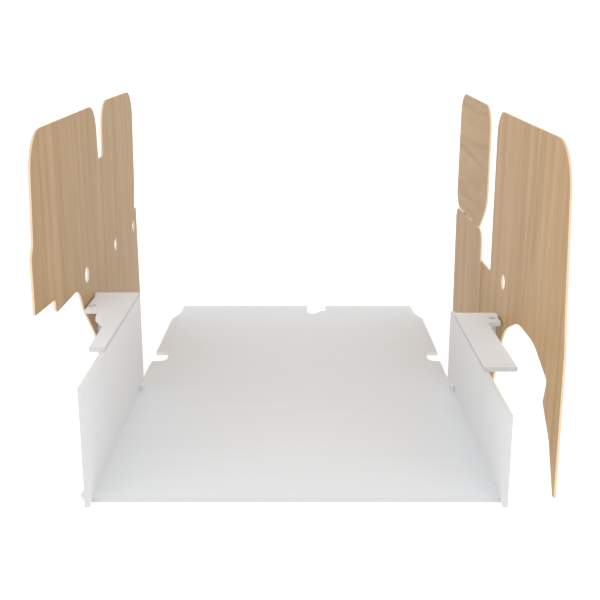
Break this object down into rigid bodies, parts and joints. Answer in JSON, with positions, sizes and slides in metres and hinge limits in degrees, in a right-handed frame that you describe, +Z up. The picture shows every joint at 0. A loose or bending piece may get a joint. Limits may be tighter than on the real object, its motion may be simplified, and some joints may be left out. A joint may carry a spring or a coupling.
{
  "type": "study carrel",
  "caption": "Wide study carrel with a deep white deck, low side cheeks with narrow shelves, and tall rounded plywood side screens.",
  "frame": {"origin": "centre of the deck's underside, on the floor", "axes": "+X to the reader's right, +Y away from the reader along the deck, +Z up"},
  "size_m": [1.304, 1.797, 0.915],
  "materials": {
    "white_laminate": "satin white wood-grain laminate on board",
    "edge_band": "satin white edge band",
    "plywood": "clear satin lacquer on light veneer, grain upright",
    "plywood_cross": "clear satin lacquer on light veneer, grain across",
    "beech": "raw turned beech",
    "zinc_steel": "bright zinc plated",
    "pale_plastic": "moulded, fine texture",
    "grey_plastic": "moulded, fine texture"
  },
  "bodies": {
    "root": {"deck_board": "white_laminate", "left_cheek": "white_laminate", "right_cheek": "white_laminate", "left_shelf": "white_laminate", "right_shelf": "white_laminate", "left_web": "white_laminate", "right_web": "white_laminate", "deck_front_band": "edge_band", "cheek_front_bands": "edge_band", "cheek_top_bands": "edge_band", "shelf_front_bands": "edge_band", "right_shelf_side_band": "edge_band", "left_screen": "plywood", "right_front_screen": "plywood", "right_rear_lower_screen": "plywood", "right_rear_upper_screen": "plywood_cross", "screen_battens": "plywood", "shelf_grommets": "pale_plastic", "corner_blocks": "grey_plastic", "shelf_dowels": "beech", "web_brackets": "zinc_steel", "bracket_screws": "zinc_steel", "deck_screws": "zinc_steel", "screen_screws": "zinc_steel", "batten_screws": "zinc_steel", "lap_bolts": "zinc_steel", "lap_cap_nuts": "zinc_steel"}
  },
  "joints": []
}
